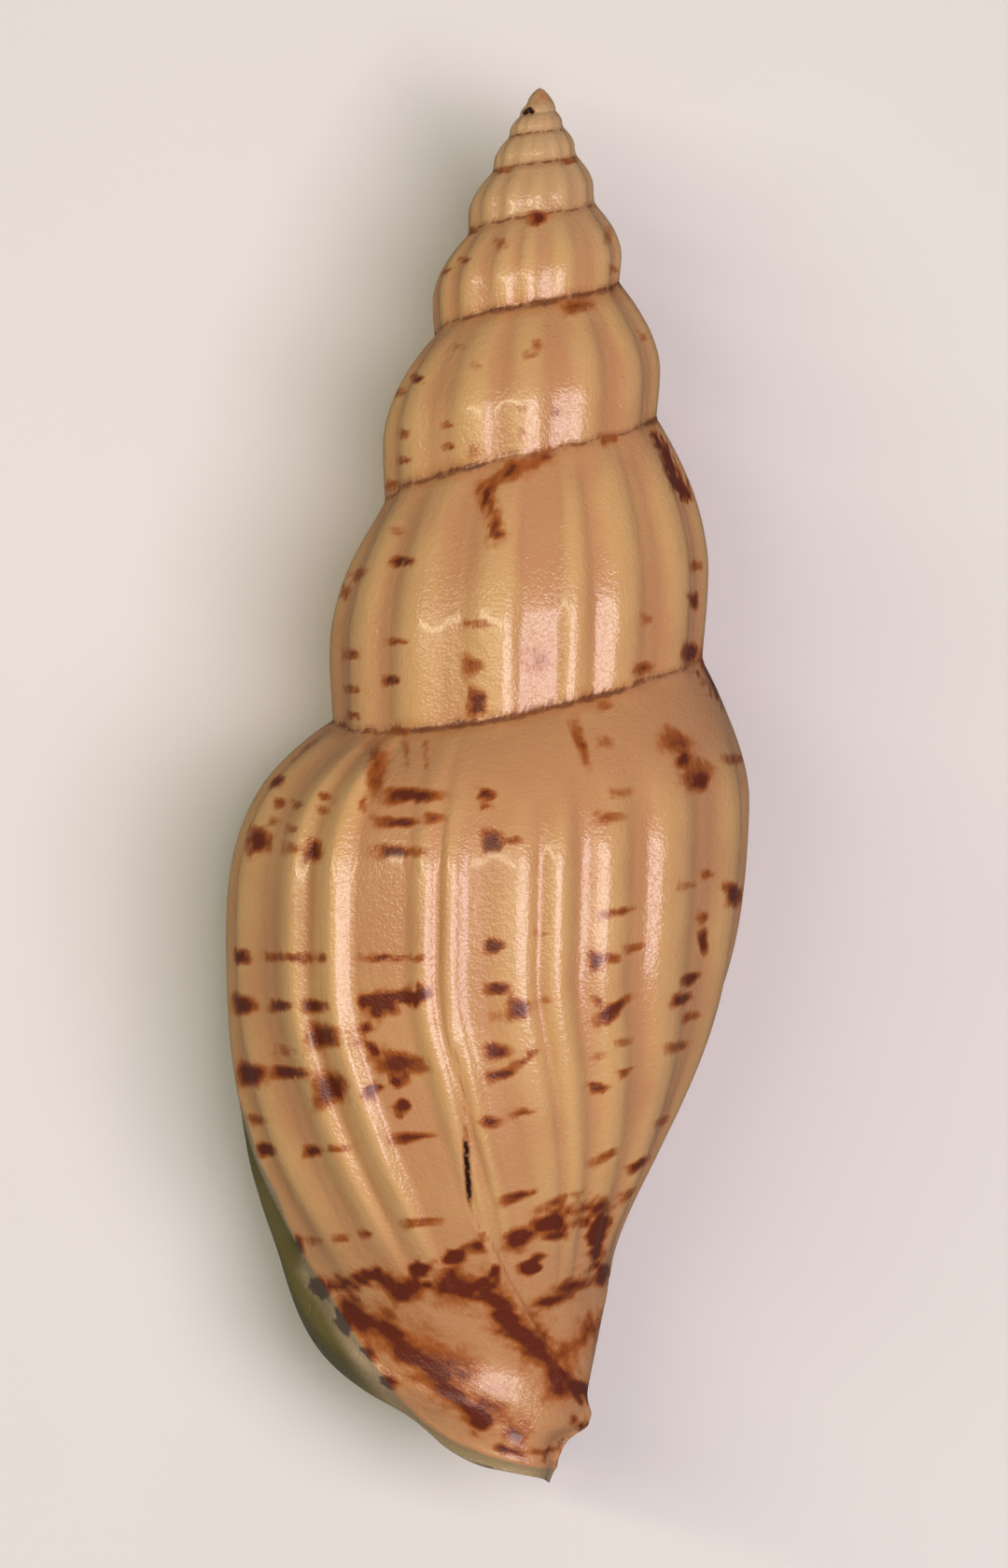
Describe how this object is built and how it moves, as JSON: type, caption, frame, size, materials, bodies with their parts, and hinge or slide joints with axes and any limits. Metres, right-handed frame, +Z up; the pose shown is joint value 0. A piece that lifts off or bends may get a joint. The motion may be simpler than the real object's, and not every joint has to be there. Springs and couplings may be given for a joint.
{
  "type": "volute seashell",
  "caption": "Tall ribbed spiral seashell lying on its aperture, with a high pointed spire, a long narrow aperture with folds on the columella, a thick outer lip and a front canal.",
  "frame": {"origin": "on the resting surface, under the centre of the bounding box", "axes": "+Z up, away from the surface it lies on, with the back of the shell up; +Y along the shell's length towards the apex; +X to the right of the shell seen from above with the apex away from the viewer"},
  "size_m": [0.0298, 0.0802, 0.0263],
  "materials": {
    "shell": "glossy porcelain-like shell, peach and cream with chestnut marks"
  },
  "bodies": {
    "root": {"shell": "shell"}
  },
  "joints": []
}
